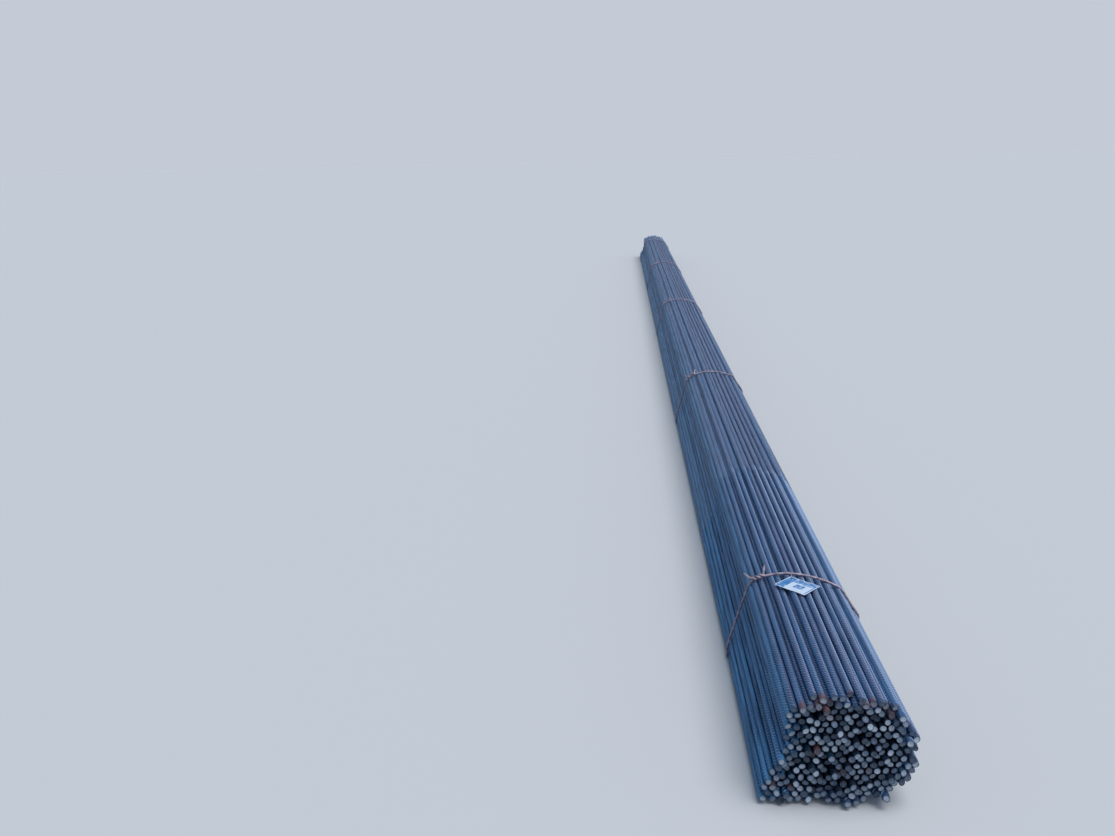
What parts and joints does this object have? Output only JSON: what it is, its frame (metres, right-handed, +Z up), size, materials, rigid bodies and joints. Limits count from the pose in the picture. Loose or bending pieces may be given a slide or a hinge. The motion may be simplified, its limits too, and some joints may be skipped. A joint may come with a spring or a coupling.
{
  "type": "rebar bundle",
  "caption": "Bundle of straight ribbed steel reinforcing bars packed into one rounded stack, held by twisted wire ties, with a tag at one end.",
  "frame": {"origin": "on the ground, under the middle of the bundle", "axes": "+Z up, +Y along the bars away from the tagged end, +X to the right seen from the tagged end"},
  "size_m": [0.292, 9.024, 0.2414],
  "materials": {
    "bars": "hot-rolled mill scale, dark blue grey, with light rust on some bars",
    "tie_wire": "drawn wire rod, lightly rusted",
    "tag": "white coated plate with a plain blue print",
    "tag_ring": "thin bright wire"
  },
  "bodies": {
    "root": {"bar_layer_01": "bars", "bar_layer_02": "bars", "bar_layer_03": "bars", "bar_layer_04": "bars", "bar_layer_05": "bars", "bar_layer_06": "bars", "bar_layer_07": "bars", "bar_layer_08": "bars", "bar_layer_09": "bars", "bar_layer_10": "bars", "bar_layer_11": "bars", "bar_layer_12": "bars", "bar_layer_13": "bars", "bar_layer_14": "bars", "bar_layer_15": "bars", "bar_layer_16": "bars", "bar_layer_17": "bars", "bar_layer_18": "bars", "tag": "tag", "tag_ring": "tag_ring", "tie_wire_1": "tie_wire", "tie_wire_2": "tie_wire", "tie_wire_3": "tie_wire", "tie_wire_4": "tie_wire", "tie_wire_5": "tie_wire"}
  },
  "joints": []
}
